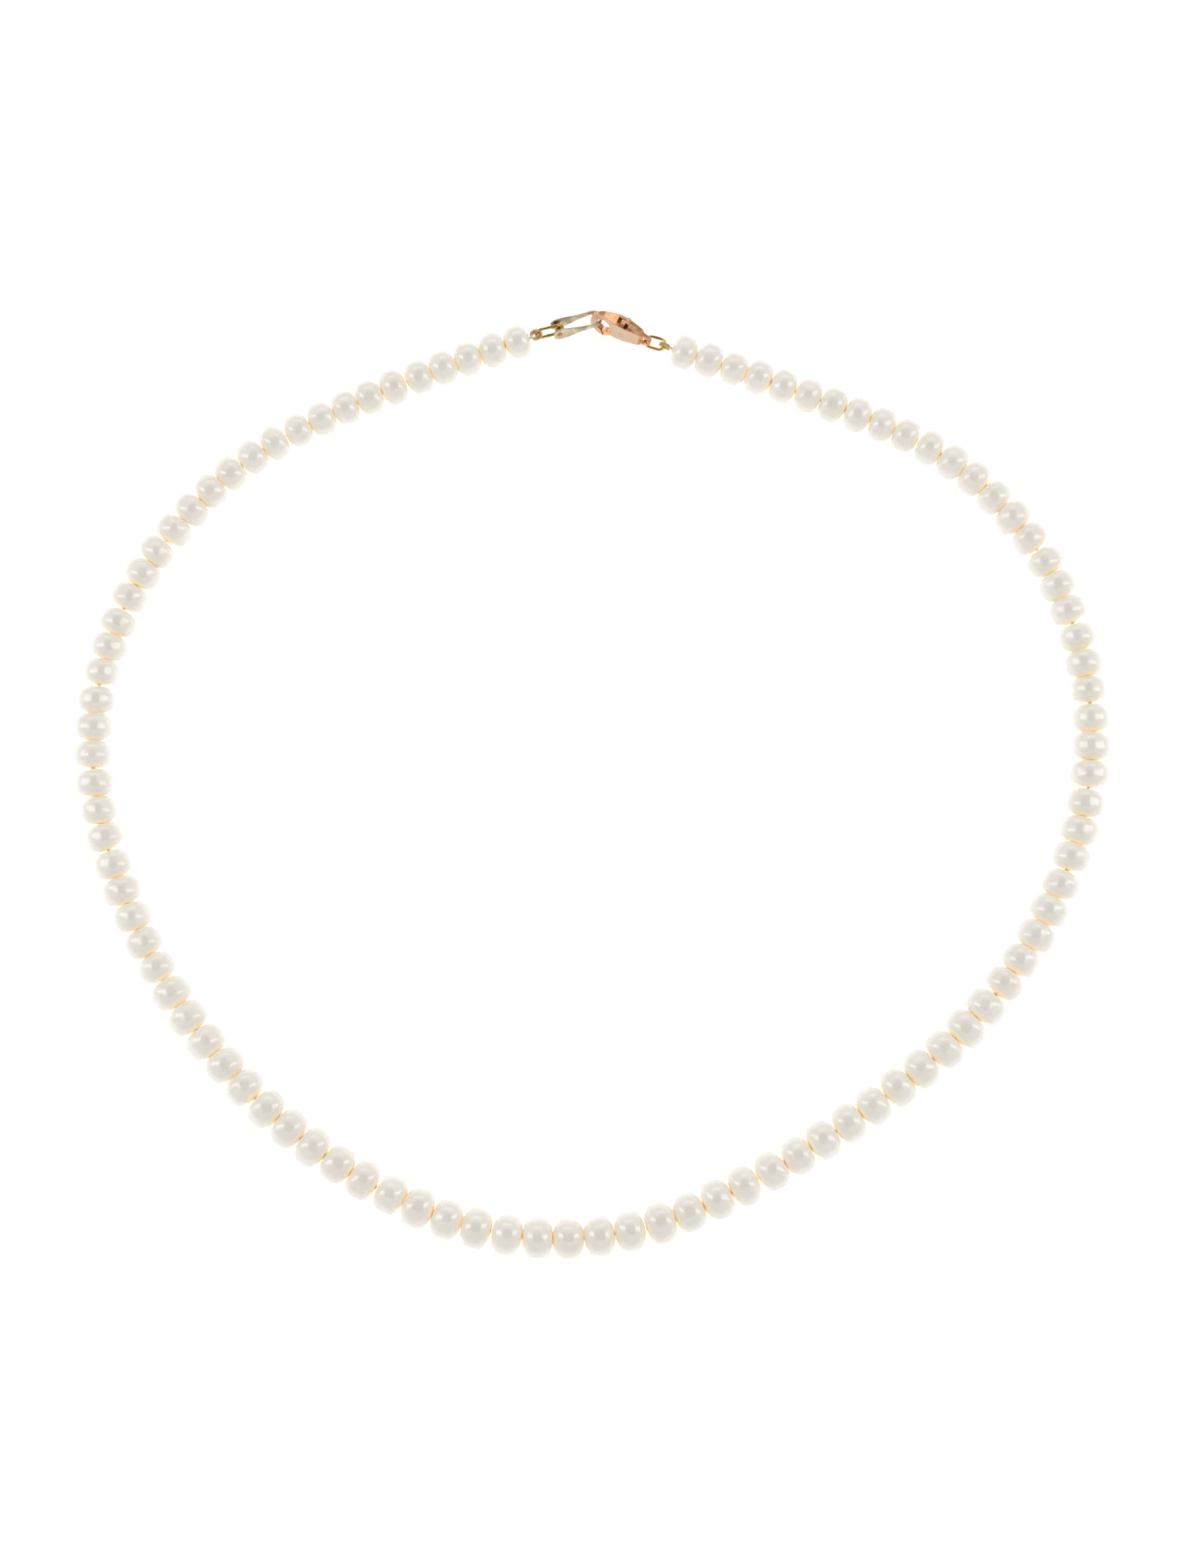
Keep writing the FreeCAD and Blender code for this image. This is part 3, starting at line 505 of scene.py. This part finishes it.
# ------------------------------------------------------------------ silk thread
# White silk twisted from three plies. It runs hidden through every pearl and
# shows only at the gaps and in the two loops beside the clasp.
def silk():
    """Twisted silk: fine slanting plies with a soft sheen."""
    material, tree, shader = graph("silk")
    place = tree.nodes.new("ShaderNodeTexCoord")
    plies = tree.nodes.new("ShaderNodeTexWave")
    plies.bands_direction = "DIAGONAL"
    plies.inputs["Scale"].default_value = 2400.0
    plies.inputs["Distortion"].default_value = 1.5
    wire(tree, place, "Object", plies, "Vector")
    # Cream silk, coloured darker tan in the grooves between the plies: painted shade in the twist.
    colour = ramp(tree, [(0.0, (0.66, 0.58, 0.44)), (0.6, (0.86, 0.81, 0.70)), (1.0, (0.93, 0.90, 0.82))])
    wire(tree, plies, "Fac", colour, "Fac")
    wire(tree, colour, "Color", shader, "Base Color")
    ridges = bump(tree, 0.5, 0.00003)
    wire(tree, plies, "Fac", ridges, "Height")
    wire(tree, ridges, "Normal", shader, "Normal")
    shader.inputs["Roughness"].default_value = 0.62
    shader.inputs["Sheen Weight"].default_value = 0.4
    return material


silk_finish = silk()
for name, node in frame["nodes"].items():
    if name.startswith("thread_"):
        node.material_slots[0].material = silk_finish


# ------------------------------------------------------------------ gimp
# Close coils of very fine gilt wire slipped over the two end loops of the silk,
# so that the thread doesn't chafe on the rings.
def gold(name, light, painted_dark_reflection, smooth, rough, scratch):
    """Worn gold: polish varies over the surface, with fine scratches, and the colour varies in random
    patches between the gold's own tone and a deep brown painted in as dark reflection.
    """
    material, tree, shader = graph(name)
    place = tree.nodes.new("ShaderNodeTexCoord")
    patch = noise(tree, 700.0, 4.0)
    wire(tree, place, "Object", patch, "Vector")
    # Random patches from the gold's own light tone to a deep brown: painted dark reflection.
    colour = ramp(tree, [(0.25, painted_dark_reflection), (0.7, light)])
    wire(tree, patch, "Fac", colour, "Fac")
    wire(tree, colour, "Color", shader, "Base Color")
    polish = noise(tree, 2600.0, 5.0, 0.6)
    wire(tree, place, "Object", polish, "Vector")
    polish_range = tree.nodes.new("ShaderNodeMapRange")
    polish_range.inputs["To Min"].default_value = smooth
    polish_range.inputs["To Max"].default_value = rough
    wire(tree, polish, "Fac", polish_range, "Value")
    wire(tree, polish_range, "Result", shader, "Roughness")
    dents = bump(tree, scratch, 0.00002)
    wire(tree, polish, "Fac", dents, "Height")
    wire(tree, dents, "Normal", shader, "Normal")
    shader.inputs["Metallic"].default_value = 1.0
    return material


def winding_tree():
    """Winds a wire round a path: a close helix swept with a round section."""
    tree = bpy.data.node_groups.new("gimp_winding", "GeometryNodeTree")
    face = tree.interface
    face.new_socket("Path", in_out="INPUT", socket_type="NodeSocketGeometry")
    for label in ("Turns", "Coil radius", "Wire radius"):
        face.new_socket(label, in_out="INPUT", socket_type="NodeSocketFloat")
    face.new_socket("Wire", in_out="INPUT", socket_type="NodeSocketMaterial")
    face.new_socket("Coil", in_out="OUTPUT", socket_type="NodeSocketGeometry")
    given = tree.nodes.new("NodeGroupInput")
    made = tree.nodes.new("NodeGroupOutput")
    resampled = tree.nodes.new("GeometryNodeResampleCurve")
    resampled.inputs["Count"].default_value = 560
    wire(tree, given, "Path", resampled, "Curve")
    along = tree.nodes.new("GeometryNodeSplineParameter")

    def sum_of(operation, first, first_out, second=None, second_out=None, value=None):
        node = tree.nodes.new("ShaderNodeMath")
        node.operation = operation
        wire(tree, first, first_out, node, 0)
        if second is not None:
            wire(tree, second, second_out, node, 1)
        if value is not None:
            node.inputs[1].default_value = value
        return node

    turned = sum_of("MULTIPLY", along, "Factor", given, "Turns")
    angle = sum_of("MULTIPLY", turned, "Value", value=2 * math.pi)
    tangent = tree.nodes.new("GeometryNodeInputTangent")
    upright = tree.nodes.new("GeometryNodeInputNormal")
    side = tree.nodes.new("ShaderNodeVectorMath")
    side.operation = "CROSS_PRODUCT"
    wire(tree, tangent, "Tangent", side, 0)
    wire(tree, upright, "Normal", side, 1)
    parts = []
    for operation, direction, out in (("COSINE", upright, "Normal"), ("SINE", side, "Vector")):
        swing = sum_of(operation, angle, "Value")
        reach = sum_of("MULTIPLY", swing, "Value", given, "Coil radius")
        part = tree.nodes.new("ShaderNodeVectorMath")
        part.operation = "SCALE"
        wire(tree, direction, out, part, 0)
        wire(tree, reach, "Value", part, "Scale")
        parts.append(part)
    offset = tree.nodes.new("ShaderNodeVectorMath")
    offset.operation = "ADD"
    wire(tree, parts[0], "Vector", offset, 0)
    wire(tree, parts[1], "Vector", offset, 1)
    wound = tree.nodes.new("GeometryNodeSetPosition")
    wire(tree, resampled, "Curve", wound, "Geometry")
    wire(tree, offset, "Vector", wound, "Offset")
    section = tree.nodes.new("GeometryNodeCurvePrimitiveCircle")
    section.inputs["Resolution"].default_value = 7
    wire(tree, given, "Wire radius", section, "Radius")
    swept = tree.nodes.new("GeometryNodeCurveToMesh")
    swept.inputs["Fill Caps"].default_value = True
    wire(tree, wound, "Geometry", swept, "Curve")
    wire(tree, section, "Curve", swept, "Profile Curve")
    real = tree.nodes.new("GeometryNodeRealizeInstances")
    wire(tree, swept, "Mesh", real, "Geometry")
    finished = tree.nodes.new("GeometryNodeSetMaterial")
    wire(tree, real, "Geometry", finished, "Geometry")
    wire(tree, given, "Wire", finished, "Material")
    wire(tree, finished, "Geometry", made, "Coil")
    return tree


def bent_sleeve(node):
    """Centre, flat normal and far direction of a bent tube."""
    points, _ = corner_points(node)
    middle = points.mean(axis=0)
    normal = np.linalg.eigh(np.cov((points - middle).T))[1][:, 0]
    flat = points - np.outer((points - middle) @ normal, normal)
    away = 2 * (flat - middle)
    centre_shift = np.linalg.lstsq(np.c_[away, np.ones(len(away))],
                                   ((flat - middle) ** 2).sum(axis=1), rcond=None)[0][:3]
    centre = middle + centre_shift
    far = middle - centre
    far -= (far @ normal) * normal
    far /= np.linalg.norm(far)
    return Vector(centre), Vector(normal), Vector(far)


GIMP_SWEEP = math.radians(145)
GIMP_BEND = 0.00066
gimp_finish = gold("gilt_wire", (0.86, 0.72, 0.44), (0.50, 0.35, 0.13), 0.20, 0.38, 0.3)
winding = winding_tree()
for side_name in ("left", "right"):
    node = "gimp_" + side_name
    centre, normal, far = bent_sleeve(node)
    across = normal.cross(far)
    curve = bpy.data.curves.new(node + "_path", "CURVE")
    curve.dimensions = "3D"
    spline = curve.splines.new("POLY")
    steps = 48
    spline.points.add(steps)
    for step in range(steps + 1):
        angle = GIMP_SWEEP * (2 * step / steps - 1)
        spot = centre + GIMP_BEND * (far * math.cos(angle) + across * math.sin(angle))
        spline.points[step].co = (*spot, 1)
    path = bpy.data.objects.new(node + "_path", curve)
    bpy.context.scene.collection.objects.link(path)
    inputs = {"Turns": 34.0, "Coil radius": 0.00025, "Wire radius": 0.00005, "Wire": gimp_finish}
    coil = grown(path, winding, inputs, "gimp_coil_" + side_name)
    for polygon in coil.data.polygons:
        polygon.use_smooth = True
    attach(coil, "strand_%s_01" % side_name)
    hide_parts(node)


# ------------------------------------------------------------------ jump rings
# Two oval rings of drawn gold wire, soldered shut and polished. Each one ties
# a gimp-covered loop of silk to a piece of the clasp.
def cast_copy(node, name, grain, smoothing, finish):
    """The CAD shape with softly rounded edges, as casting and tumbling leave it."""
    scale = 1000.0
    mesh = frame["nodes"][node].data.copy()
    work = bmesh.new()
    work.from_mesh(mesh)
    bmesh.ops.remove_doubles(work, verts=work.verts, dist=1e-7)
    work.to_mesh(mesh)
    work.free()
    mesh.transform(Matrix.Scale(scale, 4))
    shell = bpy.data.objects.new(name + "_shell", mesh)
    bpy.context.scene.collection.objects.link(shell)
    remesh = shell.modifiers.new("skin", "REMESH")
    remesh.mode = "VOXEL"
    remesh.voxel_size = grain
    relax = shell.modifiers.new("tumble", "SMOOTH")
    relax.factor = 0.5
    relax.iterations = smoothing
    depsgraph = bpy.context.evaluated_depsgraph_get()
    bpy.context.view_layer.update()
    made = bpy.data.meshes.new_from_object(shell.evaluated_get(depsgraph), depsgraph=depsgraph)
    bpy.data.objects.remove(shell)
    made.transform(Matrix.Scale(1 / scale, 4))
    made.materials.clear()
    made.materials.append(finish)
    for polygon in made.polygons:
        polygon.use_smooth = True
        polygon.material_index = 0
    piece = bpy.data.objects.new(name, made)
    bpy.context.scene.collection.objects.link(piece)
    return piece


def fitted(piece, node, body):
    """The piece stands for its CAD node and moves with the node's body."""
    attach(piece, body)
    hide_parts(node)


ring_gold = gold("ring_gold", (0.78, 0.56, 0.24), (0.36, 0.21, 0.06), 0.08, 0.20, 0.12)
for side_name in ("left", "right"):
    node = "jump_ring_" + side_name
    ring = cast_copy(node, "oval_ring_" + side_name, 0.04, 6, ring_gold)
    fitted(ring, node, side_name + "_ring")


# ------------------------------------------------------------------ catch link
# A strip of pale gold sheet, filed to a taper and folded over into a teardrop.
# A barrel post is riveted between its open ends, and the left ring hangs on it.
strip_gold = gold("strip_gold", (0.64, 0.56, 0.42), (0.25, 0.19, 0.12), 0.09, 0.24, 0.2)
fitted(cast_copy("catch_link", "folded_catch_link", 0.035, 3, strip_gold), "catch_link", "link")
post_gold = gold("post_gold", (0.84, 0.60, 0.22), (0.34, 0.17, 0.04), 0.12, 0.34, 0.6)
post = cast_copy("link_post", "granular_post", 0.03, 2, post_gold)
grains = post.modifiers.new("grains", "DISPLACE")
grain_texture = bpy.data.textures.new("grains", "VORONOI")
grain_texture.noise_scale = 0.00028
grains.texture = grain_texture
grains.strength = 0.00011
grains.mid_level = 0.3
fitted(post, "link_post", "link")


# ------------------------------------------------------------------ lobster clasp
# A cast rose gold claw: polished spine, brushed cheeks, and a sprung lever that
# turns on a rivet between the cheeks. The lever's gold is painted paler, to lighten the shade in the slot.
def two_way_gold(name):
    """Polished rose gold whose flat cheeks are brushed to a duller beige."""
    material = gold(name, (0.84, 0.44, 0.24), (0.36, 0.14, 0.05), 0.07, 0.18, 0.1)
    tree = material.node_tree
    shader = tree.nodes["Principled BSDF"]
    cheek = attribute(tree, "cheek")
    old_colour = shader.inputs["Base Color"].links[0].from_socket
    old_polish = shader.inputs["Roughness"].links[0].from_socket
    brushed = mixed(tree, "MIX")
    tree.links.new(old_colour, brushed.inputs[6])
    brushed.inputs[7].default_value = (0.64, 0.47, 0.33, 1)
    wire(tree, cheek, "Fac", brushed, 0)
    wire(tree, brushed, 2, shader, "Base Color")
    dull = tree.nodes.new("ShaderNodeMath")
    dull.operation = "MULTIPLY_ADD"
    wire(tree, cheek, "Fac", dull, 0)
    dull.inputs[1].default_value = 0.28
    tree.links.new(old_polish, dull.inputs[2])
    wire(tree, dull, "Value", shader, "Roughness")
    return material


rose_gold = two_way_gold("rose_gold")
lever_joint = [j for j in frame["joints"] if j["name"] == "lever_press"][0]
cheek_normal = Vector(lever_joint["axis"])


def mark_cheeks(piece):
    """Store where a surface faces sideways, for the brushed finish."""
    normals = np.array([tuple(v.normal) for v in piece.data.vertices])
    facing = np.abs(normals @ np.array(cheek_normal))
    brushed = piece.data.attributes.new("cheek", "FLOAT", "POINT")
    brushed.data.foreach_set("value", np.clip((facing - 0.8) / 0.15, 0, 1))


# A paler copy of the rose gold for the lever: painted light against the shade in the slot.
lever_gold = gold("lever_gold", (0.90, 0.54, 0.34), (0.60, 0.30, 0.15), 0.14, 0.28, 0.1)
for node, name, body, finish in (("clasp_body", "cast_claw", "clasp", rose_gold),
                                 ("clasp_lever", "cast_lever", "lever", lever_gold),
                                 ("lever_pin", "lever_rivet", "clasp", rose_gold)):
    cast = cast_copy(node, name, 0.03, 3, finish)
    mark_cheeks(cast)
    fitted(cast, node, body)

spring_steel = gold("spring_steel", (0.72, 0.72, 0.72), (0.5, 0.5, 0.5), 0.2, 0.4, 0.1)
frame["nodes"]["lever_spring"].material_slots[0].material = spring_steel
